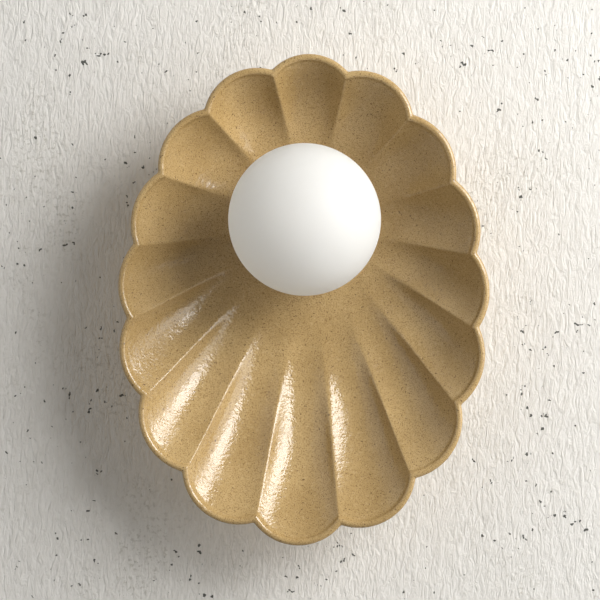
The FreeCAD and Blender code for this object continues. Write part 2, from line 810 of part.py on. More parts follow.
def make_bulb_pins():
    pins = []
    half = size("lamp_pin_width / 2 - lamp_pin_wire")
    rear = size("lamp_back - lamp_pin_reach + lamp_pin_wire")
    front = size("lamp_back")
    for name, side in (("left", -1), ("right", 1)):
        x = side * size("pin_spacing / 2")
        low, high = at(x, front, -half), at(x, front, half)
        low_turn, high_turn = at(x, rear + half, -half), at(x, rear + half, half)
        bend = Part.Arc(low_turn, at(x, rear, 0), high_turn).toShape()
        path = [Part.LineSegment(low, low_turn).toShape(), bend,
                Part.LineSegment(high_turn, high).toShape()]
        pins.append(sweep("bulb_pin_" + name, path, low, at(0, -1, 0), size("lamp_pin_wire")))
    group("bulb_pins", pins)


make_bulb_pins()


def make_bulb_board():
    board = block("bulb_board", "-lamp_board_width / 2", "lamp_base_front", "-lamp_board_sheet / 2",
                  "lamp_board_width", "lamp_front - lamp_base_front - lamp_radius",
                  "lamp_board_sheet")
    keep(board, "bulb_board")


make_bulb_board()


def make_bulb_cover():
    # a frosted sleeve with a domed end
    skins = []
    for name, shrink in (("outer", "0"), ("inner", "lamp_cover_wall")):
        radius = "lamp_radius - %s" % shrink
        sleeve = rod("cover_sleeve_" + name, radius, "0", "lamp_base_front", "0",
                     "lamp_front - lamp_radius - lamp_base_front")
        dome = doc.addObject("Part::Sphere", "cover_dome_" + name)
        bind(dome, "Radius", radius)
        dome.Angle1 = 0
        place(dome, "0", "lamp_front - lamp_radius", "0", toFront)
        skins.append(fuse("cover_" + name, [sleeve, dome]))
    keep(cut("bulb_cover", skins[0], skins[1]), "bulb_cover")


make_bulb_cover()


# ---------------------------------------------------------------- wiring
def make_terminal_block():
    middle = "block_near_side + block_width / 2"
    base = block("block_base", "-block_length / 2", "plate_sheet", "block_near_side",
                 "block_length", "block_height", "block_width")
    holes = []
    clamps = []
    screws = []
    for pole in (-1, 0, 1):
        x = "%d * block_pitch" % pole
        name = {-1: "earth", 0: "neutral", 1: "live"}[pole]
        holes.append(rod("entry_" + name, "clamp_bore_radius", x, "lead_depth",
                         "block_near_side - 1", "block_width + 2", upright))
        seat = rod("seat_" + name, "clamp_radius + screw_gap", x, "lead_depth",
                   "block_near_side + clamp_inset", "block_width - 2 * clamp_inset", upright)
        holes.append(seat)
        tube = rod("tube_" + name, "clamp_radius", x, "lead_depth",
                   "block_near_side + clamp_inset", "block_width - 2 * clamp_inset", upright)
        bores = [rod("bore_" + name, "clamp_bore_radius", x, "lead_depth",
                     "block_near_side", "block_width", upright)]
        for row, offset in enumerate(("- block_width / 4", "+ block_width / 4")):
            z = "%s %s" % (middle, offset)
            spot = "%s_%d" % (name, row)
            holes.append(rod("shaft_" + spot, "clamp_screw_radius + pass_gap", x, "lead_depth",
                             z, "block_height"))
            bores.append(rod("thread_" + spot, "clamp_screw_radius + screw_gap", x, "lead_depth",
                             z, "block_height"))
            screws.append(rod("clamp_screw_" + spot, "clamp_screw_radius", x,
                              "lead_depth + lead_radius + screw_gap", z, "clamp_screw_length"))
        clamps.append(cut("clamp_" + name, tube, fuse("clamp_bores_" + name, bores)))
    fixings = []
    for name, sign in (("left", "-"), ("right", "+")):
        x = sign + "block_pitch / 2"
        holes.append(rod("fixing_hole_" + name, "block_screw_radius + screw_gap", x, "0", middle,
                         "block_height + plate_sheet"))
        holes.append(rod("fixing_recess_" + name, "block_head_radius + screw_gap", x,
                         "block_front - block_recess", middle, "2 * block_recess"))
        fixings.append(make_screw("block_screw_" + name, x, middle, "plate_sheet / 4",
                                  "block_front - block_recess", "block_screw_radius",
                                  "block_head_radius", "block_head_length"))
    keep(cut("terminal_block", base, fuse("block_holes", holes)), "terminal_block")
    group("terminal_clamps", clamps)
    group("terminal_screws", screws)
    group("block_screws", fixings)


make_terminal_block()


bend_share = 0.45                    # of a straight run, taken up by the bend at its end


def make_lead(name, route):
    # straight runs joined by tangent arcs, each as large as its two runs allow
    radius = size("lead_radius")
    path = []
    here = route[0]
    for before, corner, after in zip(route, route[1:], route[2:]):
        into = corner - before
        out = after - corner
        half_turn = into.getAngle(out) / 2
        reach = bend_share * min(into.Length, out.Length)
        bend = reach / math.tan(half_turn)
        into.normalize()
        out.normalize()
        start = corner - into * reach
        stop = corner + out * reach
        inwards = (out - into).normalize()
        centre = corner + inwards * (bend / math.cos(half_turn))
        path.append(Part.LineSegment(here, start).toShape())
        path.append(Part.Arc(start, centre - inwards * bend, stop).toShape())
        print("%s: bend of radius %.1f mm through %.0f degrees"
              % (name, bend, math.degrees(2 * half_turn)))
        here = stop
    path.append(Part.LineSegment(here, route[-1]).toShape())
    length = sum(piece.Length for piece in path)
    lead = sweep(name, path, route[0], route[1] - route[0], radius)
    section = math.pi * radius ** 2
    print("%s: %.1f mm long, volume over section times length %.4f"
          % (name, length, lead.Shape.Volume / (section * length)))
    keep(lead, name)


def make_leads():
    depth = size("lead_depth")
    near = size("block_near_side")
    inside = near + size("block_width / 2") - 1
    for name, side, pole in (("live_lead", 1, 1), ("neutral_lead", -1, 0)):
        offset = side * size("lead_offset")
        contact = side * size("pin_spacing / 2")
        terminal = pole * size("block_pitch")
        make_lead(name, [
            at(contact, size("socket_floor"), 0),
            at(contact, size("bracket_front - 0.5"), 0),
            at(offset, size("nipple_front - 1"), 0),
            at(offset, depth, 0),
            at(terminal, depth, near - size("lead_entry")),
            at(terminal, depth, inside),
        ])
    x = size("earth_point_x")
    z = size("earth_point_z + tag_reach")
    terminal = -size("block_pitch")
    low = size("tag_barrel_depth")
    make_lead("earth_lead", [
        at(terminal, depth, inside),
        at(terminal, depth, near - size("earth_entry")),
        at((terminal + x) / 2 - size("earth_bow"), (depth + low) / 2, 0),
        at(x, low, z + size("earth_rise")),
        at(x, low, z - size("tag_barrel_length / 2")),
    ])


make_leads()


def make_earth_tag():
    ring = rod("tag_ring", "tag_radius", "earth_point_x", "plate_sheet", "earth_point_z",
               "tag_sheet")
    tongue = block("tag_tongue", "earth_point_x - tag_barrel_radius", "plate_sheet",
                   "earth_point_z", "2 * tag_barrel_radius", "tag_sheet", "tag_reach")
    barrel = rod("tag_barrel", "tag_barrel_radius", "earth_point_x", "tag_barrel_depth",
                 "earth_point_z + tag_reach - tag_barrel_length + tag_sheet",
                 "tag_barrel_length", upright)
    hole = rod("tag_hole", "earth_screw_radius + screw_gap", "earth_point_x", "0",
               "earth_point_z", "plate_sheet + 2 * tag_sheet")
    bore = rod("tag_bore", "lead_radius + screw_gap", "earth_point_x", "tag_barrel_depth",
               "earth_point_z", "2 * tag_reach", upright)
    body = fuse("tag_body", [ring, tongue, barrel])
    keep(cut("earth_tag", body, fuse("tag_holes", [hole, bore])), "earth_tag")
    keep(make_screw("earth_screw", "earth_point_x", "earth_point_z", "plate_sheet / 4",
                    "plate_sheet + tag_sheet", "earth_screw_radius", "earth_head_radius",
                    "earth_head_length"), "earth_screw")


make_earth_tag()

# ---------------------------------------------------------------- checks and files
doc.recompute()
for thing in doc.Objects:
    if "Invalid" in thing.State or "Error" in thing.State:
        raise RuntimeError("failed: %s %s" % (thing.Name, thing.State))
for before, made in pockets:
    if made.Shape.Volume > before.Shape.Volume - 0.01:
        raise RuntimeError("%s takes nothing away" % made.Name)
for piece in kept:
    if piece.Shape.isNull() or not piece.Shape.isValid() or not piece.Shape.Solids:
        raise RuntimeError("bad shape: " + piece.Label)
for piece in kept:
    piece.Shape.exportStep("parts/%s.step" % piece.Label)
print("%d pieces written" % len(kept))
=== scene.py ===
import math

import bpy
import numpy as np
from mathutils import Euler, Matrix, Vector


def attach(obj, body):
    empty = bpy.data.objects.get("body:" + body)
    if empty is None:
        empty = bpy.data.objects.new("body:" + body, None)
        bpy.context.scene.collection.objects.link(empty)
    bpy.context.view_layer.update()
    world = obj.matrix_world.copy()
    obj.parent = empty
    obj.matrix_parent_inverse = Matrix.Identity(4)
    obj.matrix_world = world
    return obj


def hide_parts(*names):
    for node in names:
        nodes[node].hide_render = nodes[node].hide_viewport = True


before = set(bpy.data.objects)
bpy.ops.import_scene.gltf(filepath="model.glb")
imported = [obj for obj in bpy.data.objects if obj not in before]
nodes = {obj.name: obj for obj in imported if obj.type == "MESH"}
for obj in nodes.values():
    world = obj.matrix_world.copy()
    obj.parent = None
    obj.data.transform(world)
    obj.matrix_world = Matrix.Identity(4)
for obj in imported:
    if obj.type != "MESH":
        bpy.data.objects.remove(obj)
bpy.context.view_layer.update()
mm = 0.001
print("frame loaded with", len(nodes), "nodes")

# the camera looks straight at the wall from a little below the globe, as in the photograph
view = {
    "distance": 1.5,                # wall to the lens, metres
    "pixelsPerMm": 1.5256,          # in the globe's plane
    "globePixel": (304.7, 219.5),   # where the globe's middle shows
    "globeDepth": 86.0,             # wall to the globe's middle, mm
    "pictureSize": 600,
    "lean": 1.57,                   # the light hangs this many degrees clockwise
    "aside": 75.0,                  # lens to the right of a square view, mm
    "sensor": 36.0,
}


def makeCamera():
    half = view["pictureSize"] / 2
    right = (view["globePixel"][0] - half) / view["pixelsPerMm"]
    up = (half - view["globePixel"][1]) / view["pixelsPerMm"]
    lean = math.radians(view["lean"])
    across = right * math.cos(lean) + up * -math.sin(lean)
    along = right * math.sin(lean) + up * math.cos(lean)
    reach = view["distance"] - view["globeDepth"] * mm
    aside = view["aside"]
    data = bpy.data.cameras.new("camera")
    data.sensor_width = view["sensor"]
    data.lens = view["pixelsPerMm"] * reach / mm / view["pictureSize"] * view["sensor"]
    data.shift_x = -aside * view["pixelsPerMm"] / view["pictureSize"]
    camera = bpy.data.objects.new("camera", data)
    bpy.context.scene.collection.objects.link(camera)
    camera.location = ((aside * math.cos(lean) - across) * mm, -view["distance"],
                       (-along + aside * math.sin(lean)) * mm)
    camera.rotation_euler = Euler((math.radians(90), -lean, 0), "XYZ")
    bpy.context.scene.camera = camera


makeCamera()
print("camera placed")

# meshes, from rings of points


def addMesh(name, verts, faces, smooth=True):
    mesh = bpy.data.meshes.new(name)
    mesh.from_pydata([tuple(vert) for vert in verts], [], faces)
    mesh.validate()
    if smooth:
        mesh.polygons.foreach_set("use_smooth", [True] * len(mesh.polygons))
    mesh.update()
    thing = bpy.data.objects.new(name, mesh)
    bpy.context.scene.collection.objects.link(thing)
    return thing


def gridFaces(rows, columns, closed=False):
    # quads between rings of points, and where closed also from the last ring to the first
    faces = []
    for row in range(rows if closed else rows - 1):
        low = row * columns
        high = (row + 1) % rows * columns
        for column in range(columns):
            after = (column + 1) % columns
            faces.append((low + column, low + after, high + after, high + column))
    return faces


# materials, all of them from nodes
noiseRange = (0.3, 0.7)   # a noise seldom leaves it


def newMaterial(name):
    material = bpy.data.materials.new(name)
    material.use_nodes = True
    tree = material.node_tree
    return material, tree, tree.nodes["Principled BSDF"]


def feed(tree, node, inputs):
    # each input takes another node's output, a colour or a number
    for name, value in inputs.items():
        socket = node.inputs[name]
        if isinstance(value, bpy.types.NodeSocket):
            tree.links.new(value, socket)
        elif socket.type == "RGBA":
            socket.default_value = (*value, 1.0)
        else:
            socket.default_value = value


def addNode(tree, kind, inputs=None, **fields):
    made = tree.nodes.new("ShaderNode" + kind)
    for field, value in fields.items():
        setattr(made, field, value)
    feed(tree, made, inputs or {})
    return made


def objectPoint(tree):
    return addNode(tree, "TexCoord").outputs["Object"]


def stretched(tree, scale):
    inputs = {"Vector": objectPoint(tree), "Scale": scale}
    return addNode(tree, "Mapping", inputs).outputs["Vector"]


def noise(tree, scale, detail=2.0, roughness=0.5, distortion=0.0, vector=None):
    # the scale is in waves to the metre
    inputs = {"Vector": vector or objectPoint(tree), "Scale": scale, "Detail": detail,
              "Roughness": roughness, "Distortion": distortion}
    return addNode(tree, "TexNoise", inputs).outputs["Fac"]


def remap(tree, value, low, high, outLow=0.0, outHigh=1.0):
    inputs = {"Value": value, "From Min": low, "From Max": high, "To Min": outLow,
              "To Max": outHigh}
    return addNode(tree, "MapRange", inputs, interpolation_type="SMOOTHSTEP").outputs["Result"]


def patches(tree, scale, detail, roughness, start, full, most=1.0):
    # none where the noise is below start, the most where it is above full
    return remap(tree, noise(tree, scale, detail, roughness), start, full, 0.0, most)


def mixColour(tree, amount, first, second):
    # 6 and 7 are the node's colours in, 2 is its colour out
    return addNode(tree, "Mix", {0: amount, 6: first, 7: second}, data_type="RGBA").outputs[2]


def combine(tree, operation, first, second=0.0):
    return addNode(tree, "Math", {0: first, 1: second}, operation=operation).outputs[0]


def mixShaders(tree, amount, first, second):
    # the mix takes the place of the material's own shader
    inputs = {0: amount, 1: first.outputs["BSDF"], 2: second.outputs["BSDF"]}
    mixed = addNode(tree, "MixShader", inputs).outputs["Shader"]
    feed(tree, tree.nodes["Material Output"], {"Surface": mixed})


def bump(tree, shader, height, distance):
    made = addNode(tree, "Bump", {"Height": height, "Distance": distance})
    feed(tree, shader, {"Normal": made.outputs["Normal"]})


def varyRoughness(tree, shader, pattern, smoothest, roughest):
    rough = remap(tree, pattern, *noiseRange, smoothest, roughest)
    feed(tree, shader, {"Roughness": rough})


def coat(tree, shader, colour, grain, roughness, depth):
    # the roughness, from its least to its most, and the bumps follow one grain
    feed(tree, shader, {"Base Color": colour})
    varyRoughness(tree, shader, grain, *roughness)
    bump(tree, shader, grain, depth)


# the fluted dish; its level lines go from the globe's axis (share 0) to the rim (share 1)
dish = {
    "lobes": 16,
    "halfWidth": 117.0,             # oval of the rim's notches, mm
    "halfHeight": 154.2,
    "egg": 0.023,                   # narrower by this share above, wider below
    "globeAboveCentre": 51.4,
    "notchCrowding": 3.2,           # degrees that the notches are moved along the rim
    "notchSpread": 5.4,
    "lobeHalfAngle": 49.0,          # degrees of arc, half a lobe
    "lobeDroop": 2.8,               # less at the top, more at the bottom
    "lobeEnds": 9.1,                # more at both ends, less at the sides
    "fluteSwell": 1.2,              # the widest arcs against the rim's
    "fluteStart": 0.34,
    "fluteDeepest": 0.76,
    "flatFloor": 0.23,
    "bowlPower": 2.2,
    "rimDepth": 74.0,               # from the wall, mm
    "floorDepth": 27.0,
    "wall": 6.0,
    "lipWidth": 4.6,
    "footRadius": 60.0,
    "footWall": 6.0,
    "footBlend": 5.0,               # fillet between the foot and the dish
    "footRound": 1.2,
    "footCorner": 2.0,              # inside the foot, at the back of the floor
    "holeRadius": 5.5,
    "ribRound": (3.2, 0.9),         # softness of the ribs near the floor and at the rim, mm
    "ribRoundStart": 0.45,
    "ribRoundReach": 0.5,
    "backSoftness": 0.8,            # mm
    "trough": 5.0,                  # relief that hand work adds to the flutes, mm
    "troughStart": 0.33,
    "troughDeepest": 0.68,
    "troughShare": 0.45,            # of it below the solid, the rest is the ribs' rise
    "troughOnTop": 0.40,            # what is left of it in the upper lobes
    "topFade": (-0.25, 0.50),       # cosines of the turn from the top, where that starts and ends
    "crestRound": (0.55, 0.10),     # of the ribs, near the floor and near the rim
    "crestRoundEnd": 0.85,
    # how finely it is cut
    "columnsPerLobe": 26,
    "loopSamples": 4096,
    "floorRows": (0, 0.04, 0.12, 0.25, 0.4, 0.6, 0.8),   # shares from the hole to the flutes
    "bowlRows": 64,
    "lipStep": 12,                  # degrees
    "skinSamples": 90,
    "skinEnd": 0.2,
    "skinRows": 40,
    "blendRows": 8,
    "footRows": (0.35, 0.7, 1.0),   # shares of its height
    "roundStep": 30,                # degrees
    "footInsideRows": (8.0, 15.0),  # depths, mm
    "backRows": (40.0, 28.0, 16.0),     # radii, mm
}


def ease(share):
    share = np.clip(share, 0.0, 1.0)
    return share * share * (3 - 2 * share)


def rimNotches():
    lobe = np.arange(dish["lobes"])
    even = np.radians((lobe + 0.5) * 360 / dish["lobes"])
    spread = dish["notchSpread"] * np.sin(2 * even)
    turn = even + np.radians(spread - dish["notchCrowding"] * np.sin(even))
    narrowing = 1 - dish["egg"] * np.cos(turn)
    return np.c_[dish["halfWidth"] * np.sin(turn) * narrowing,
                 dish["halfHeight"] * np.cos(turn) - dish["globeAboveCentre"]]


def rimHalfAngle(lobe):
    turn = math.radians(lobe * 360 / dish["lobes"])
    ends = dish["lobeEnds"] * math.cos(2 * turn)
    return dish["lobeHalfAngle"] - dish["lobeDroop"] * math.cos(turn) + ends


def unit(vector):
    return vector / np.hypot(*vector)


def cornerTurn(points, place):
    into = points[place] - points[place - 1]
    out = points[(place + 1) % len(points)] - points[place]
    cross = into[0] * out[1] - into[1] * out[0]
    return abs(math.degrees(math.atan2(cross, into @ out)))


def outwards(points, place):
    into = unit(points[place] - points[place - 1])
    out = unit(points[(place + 1) % len(points)] - points[place])
    side = unit(into + out)
    return np.array([-side[1], side[0]])


def insideNotches():
    # the rim's notches moved in by the width of the lip
    points = rimNotches()
    moved = []
    for lobe in range(dish["lobes"]):
        kink = rimHalfAngle(lobe + 0.5) - cornerTurn(points, lobe) / 2
        step = dish["lipWidth"] / math.cos(math.radians(kink))
        moved.append(points[lobe] - outwards(points, lobe) * step)
    return np.array(moved)


insideRim = insideNotches()


def halfAngleAt(share, lobe, plain):
    # plain is the arc without a bulge, as near the floor
    atRim = rimHalfAngle(lobe)
    swollen = atRim * dish["fluteSwell"]
    deepest, start = dish["fluteDeepest"], dish["fluteStart"]
    if share < deepest:
        return plain + (swollen - plain) * ease((share - start) / (deepest - start))
    return swollen + (atRim - swollen) * ease((share - deepest) / (1 - deepest))


def depthAt(share):
    rise = max(share - dish["flatFloor"], 0) / (1 - dish["flatFloor"])
    top = dish["rimDepth"] - dish["lipWidth"] / 2
    return dish["floorDepth"] + (top - dish["floorDepth"]) * rise ** dish["bowlPower"]


def slopeAt(share):
    step = 0.001
    reach = (dish["halfWidth"] + dish["halfHeight"]) / 2
    return math.atan((depthAt(share) - depthAt(share - step)) / (step * reach))


def levelNotches(share, spread):
    # where the arcs of a level line meet, moved outwards by the spread
    points = insideRim * share
    notches = []
    for lobe in range(len(points)):
        turn = cornerTurn(points, lobe)
        kink = halfAngleAt(share, lobe + 0.5, turn / 2) - turn / 2
        away = outwards(points, lobe) * spread
        notches.append(points[lobe] + away / math.cos(math.radians(kink)))
    return notches


def lobedLoop(share, spread=0.0):
    # a level line of the dish in plan, with its points crowded towards the ribs
    points = insideRim * share
    notches = levelNotches(share, spread)
    per = dish["columnsPerLobe"]
    sweep = -np.cos(np.pi * np.arange(per) / per)
    loop = []
    for lobe in range(len(points)):
        chord = points[lobe] - points[lobe - 1]
        half = halfAngleAt(share, lobe, cornerTurn(points, lobe) / 2)
        away = unit(np.array([-chord[1], chord[0]]))
        bulge = np.hypot(*chord) / 2 * math.tan(math.radians(half / 2)) + spread
        # the arc through the two notches and the crest
        crest = (points[lobe] + points[lobe - 1]) / 2 + away * bulge
        start, stop = notches[lobe - 1], notches[lobe]
        base = (start + stop) / 2
        halfChord = np.hypot(*(stop - start)) / 2
        sag = (crest - base) @ away
        radius = (halfChord ** 2 + sag ** 2) / (2 * sag)
        angle = math.asin(min(halfChord / radius, 1.0))
        if sag > radius:
            angle = math.pi - angle
        centre = base - away * (radius - sag)
        along = unit(stop - start)
        turnTo = (sweep * angle)[:, None]
        loop.append(centre + radius * (np.sin(turnTo) * along + np.cos(turnTo) * away))
    return np.concatenate(loop)


def softened(loop, sigma):
    # rounds the creases of a closed line, as glaze does
    samples = dish["loopSamples"]
    step = np.hypot(*(np.roll(loop, -1, 0) - loop).T)
    along = np.r_[0, np.cumsum(step)]
    even = np.linspace(0, along[-1], samples, endpoint=False)
    rate = np.fft.fftfreq(samples, along[-1] / samples)
    keepRate = np.exp(-2 * (math.pi * rate * sigma) ** 2)
    result = []
    for axis in range(2):
        closed = np.r_[loop[:, axis], loop[0, axis]]
        spread = np.interp(even, along, closed)
        smooth = np.fft.ifft(np.fft.fft(spread) * keepRate).real
        result.append(np.interp(along[:-1], np.r_[even, along[-1]], np.r_[smooth, smooth[0]]))
    return np.array(result).T


def softnessAt(share):
    near, far = dish["ribRound"]
    return near + (far - near) * ease((share - dish["ribRoundStart"]) / dish["ribRoundReach"])


def troughAt(share):
    # added depth round a level line: up at the ribs, down between them
    start, deepest = dish["troughStart"], dish["troughDeepest"]
    if share < deepest:
        size = ease((share - start) / (deepest - start))
    else:
        size = ease((1 - share) / (1 - deepest))
    per = dish["columnsPerLobe"]
    across = np.tile(np.cos(np.pi * np.arange(per) / per), dish["lobes"])
    inner, outer = dish["crestRound"]
    crest = inner + (outer - inner) * ease((share - start) / (dish["crestRoundEnd"] - start))
    profile = 1 - np.hypot(1 - across ** 2, crest)
    turn = (np.arange(len(across)) / per - 0.5) * 2 * np.pi / dish["lobes"]
    fadeStart, fadeEnd = dish["topFade"]
    high = ease((np.cos(turn) - fadeStart) / (fadeEnd - fadeStart))
    fading = 1 - (1 - dish["troughOnTop"]) * high
    return dish["trough"] * size * fading * (profile - dish["troughShare"])


def ringPoints(plan, depth):
    depth = np.broadcast_to(depth, (len(plan),))
    return np.c_[plan[:, 0], -depth, plan[:, 1]]


def directionsOf(plan):
    return plan / np.hypot(*plan.T)[:, None]


def bowlRings():
    # from the centre hole over the flat floor and up the flutes to the rim
    start = dish["flatFloor"]
    floorLoop = softened(lobedLoop(start), softnessAt(start))
    hole = directionsOf(floorLoop) * dish["holeRadius"]
    rings = []
    for share in dish["floorRows"]:
        rings.append(ringPoints(hole + (floorLoop - hole) * share, dish["floorDepth"]))
    for share in np.linspace(start, 1.0, dish["bowlRows"]):
        plan = softened(lobedLoop(share), softnessAt(share))
        rings.append(ringPoints(plan, depthAt(share) + troughAt(share)))
    return rings


def lipRings():
    # half a round between the two rim lines
    lip = dish["lipWidth"] / 2
    inner = softened(lobedLoop(1.0), softnessAt(1.0))
    outer = softened(lobedLoop(1.0, dish["lipWidth"]), dish["backSoftness"])
    rings = []
    for degrees in range(dish["lipStep"], 181, dish["lipStep"]):
        angle = math.radians(degrees)
        share = (1 - math.cos(angle)) / 2
        depth = dish["rimDepth"] - lip + lip * math.sin(angle)
        rings.append(ringPoints(inner + (outer - inner) * share, depth))
    return rings


def skinRing(share):
    # the wall's thickness is measured square to the slope of the bowl
    tilt = slopeAt(share)
    loop = lobedLoop(share, dish["wall"] * math.sin(tilt))
    plan = softened(loop, softnessAt(share) + dish["backSoftness"])
    return plan, depthAt(share) - dish["wall"] * math.cos(tilt)


def skinRings():
    # the back of the bowl, from the rim to the fillet of the foot
    reach = dish["footRadius"] + dish["footBlend"]
    shares = np.linspace(1.0, dish["skinEnd"], dish["skinSamples"])
    skins = [skinRing(share) for share in shares]
    plans = np.array([plan for plan, depth in skins])
    depths = np.array([depth for plan, depth in skins])
    radii = np.hypot(plans[..., 0], plans[..., 1])
    # each column ends where it comes to the fillet
    ends = np.array([np.interp(-reach, -column, shares) for column in radii.T])
    columns = np.arange(len(ends))
    rings = []
    for step in np.linspace(0, 1, dish["skinRows"]):
        here = 1.0 + (ends - 1.0) * step
        place = np.interp(-here, -shares, np.arange(len(shares)))
        low = np.minimum(place.astype(int), len(shares) - 2)
        part = (place - low)[:, None]
        plan = plans[low, columns] * (1 - part) + plans[low + 1, columns] * part
        depth = depths[low] * (1 - part[:, 0]) + depths[low + 1] * part[:, 0]
        rings.append(ringPoints(plan, depth))
    return rings


def footRings(begin):
    # from the skin's last ring round the foot, then across the floor's back to the hole
    plan, depth = begin[:, [0, 2]], -begin[:, 1]
    ways = directionsOf(plan)
    outside, inside = dish["footRadius"], dish["footRadius"] - dish["footWall"]
    corner = ringPoints(ways * outside, depth)
    foot = ringPoints(ways * outside, depth - dish["footBlend"])
    rings = []
    for step in np.linspace(0, 1, dish["blendRows"])[1:]:
        rings.append((1 - step) ** 2 * begin + 2 * step * (1 - step) * corner + step ** 2 * foot)
    edge = dish["footRound"]
    for share in dish["footRows"]:
        rings.append(foot + (ringPoints(ways * outside, edge) - foot) * share)
    quarter = np.arange(0, 91, dish["roundStep"])
    for radius, sign, turns in ((outside, -1, quarter[1:]), (inside, 1, quarter[::-1])):
        for angle in np.radians(turns):
            inset = edge * (1 - math.cos(angle))
            around = ways * (radius + sign * inset)
            rings.append(ringPoints(around, edge * (1 - math.sin(angle))))
    back = dish["floorDepth"] - dish["wall"]
    bend = dish["footCorner"]
    for depth in (*dish["footInsideRows"], back - bend):
        rings.append(ringPoints(ways * inside, depth))
    for angle in np.radians(quarter[1:]):
        around = ways * (inside - bend * (1 - math.cos(angle)))
        rings.append(ringPoints(around, back - bend + bend * math.sin(angle)))
    for radius in (*dish["backRows"], dish["holeRadius"]):
        rings.append(ringPoints(ways * radius, back))
    return rings


def makeDish():
    rings = bowlRings() + lipRings() + skinRings()
    rings += footRings(rings[-1])
    faces = gridFaces(len(rings), len(rings[0]), closed=True)
    return addMesh("dish_glazed", np.concatenate(rings) * mm, faces)


# speckled tan glaze over stoneware
glaze = {
    "colour": (0.505, 0.350, 0.155),
    "pale": (0.600, 0.440, 0.225),
    "dark": (0.435, 0.292, 0.120),
    "speck": (0.235, 0.135, 0.048),
    "iron": (0.110, 0.060, 0.026),
    "layers": {                      # noise scale, detail, roughness; start, full, most
        "dark": (22.0, 3.0, 0.5, 0.35, 0.68, 1.0),
        "pale": (420.0, 2.0, 0.6, 0.52, 0.72, 0.35),
        "speck": (1500.0, 1.0, 0.4, 0.50, 0.70, 0.8),
        "iron": (820.0, 1.0, 0.3, 0.70, 0.75, 0.85),
    },
    "thin": (0.52, 0.60, 0.0, 0.2),  # pale again on edges: pointiness and amount
    "roughness": (0.12, 0.23),
    "clouds": (60.0, 2.0),           # of roughness
    "ior": 1.5,
    "sheen": 0.62,
    "ripple": (300.0, 2.0),
    "peel": (700.0, 1.0),
    "peelShare": 0.5,
    "depth": 0.00027,                # metres
}


def makeGlaze():
    material, tree, shader = newMaterial("speckled glaze")
    colour = glaze["colour"]
    for layer, numbers in glaze["layers"].items():
        colour = mixColour(tree, patches(tree, *numbers), colour, glaze[layer])
    edges = addNode(tree, "NewGeometry").outputs["Pointiness"]
    colour = mixColour(tree, remap(tree, edges, *glaze["thin"]), colour, glaze["pale"])
    feed(tree, shader, {"Base Color": colour, "IOR": glaze["ior"],
                        "Specular IOR Level": glaze["sheen"]})
    varyRoughness(tree, shader, noise(tree, *glaze["clouds"]), *glaze["roughness"])
    peel = combine(tree, "MULTIPLY", noise(tree, *glaze["peel"]), glaze["peelShare"])
    height = combine(tree, "ADD", noise(tree, *glaze["ripple"]), peel)
    bump(tree, shader, height, glaze["depth"])
    return material


dishPiece = makeDish()
dishPiece.data.materials.append(makeGlaze())
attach(dishPiece, "base")
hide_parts("shell")
print("dish made with", len(dishPiece.data.vertices), "points")

# turned pieces: the globe, the cup and the nipple
threadFade = 6   # rows over which a thread starts and ends


def turnedRings(profile, segments, threads=None):
    # profile holds (radius, depth) in mm; threads = (first row, last row, pitch, height)
    angles = np.linspace(0, 2 * math.pi, segments, endpoint=False)
    rings = []
    for row, (radius, depth) in enumerate(profile):
        radii = np.full(segments, radius)
        if threads and threads[0] <= row <= threads[1]:
            first, last, pitch, height = threads
            phase = (depth / pitch + angles / (2 * math.pi)) % 1.0
            fade = min(1.0, (row - first) / threadFade, (last - row) / threadFade)
            radii = radii - height * fade * (0.5 + 0.5 * np.cos(2 * math.pi * phase))
        rings.append(np.c_[radii * np.cos(angles), np.full(segments, -depth),
                           radii * np.sin(angles)])
    return rings


def addTurned(name, profile, segments, closed=True, threads=None):
    rings = turnedRings(profile, segments, threads)
    faces = gridFaces(len(rings), segments, closed)
    return addMesh(name, np.concatenate(rings) * mm, faces)


def arcRow(centre, radius, start, stop, count):
    # points of an arc in (radius, depth), angles in degrees from the wall side
    spots = []
    for angle in np.radians(np.linspace(start, stop, count)):
        spots.append((centre[0] + radius * math.sin(angle), centre[1] - radius * math.cos(angle)))
    return spots


globe = {
    "radius": 50.0,
    "wall": 3.0,
    "middle": 86.0,                 # from the wall behind it, mm
    "neckBack": 31.0,
    "neckBore": 16.1,
    "neckRadius": 19.3,
    "neckFillet": 2.5,
    "neckRim": 1.2,
    "outerStep": 4.0,               # from the neck's end to its first row outside, mm
    "innerStep": 6.0,
    "boreEnd": 1.0,                 # from its last row to the ball's inside, mm
    "pole": 0.0001,                 # nearly on the axis
    "segments": 128,
    "ballRows": 80,
    "filletRows": 8,
    "rimRows": 6,
    "insideRows": 60,
}


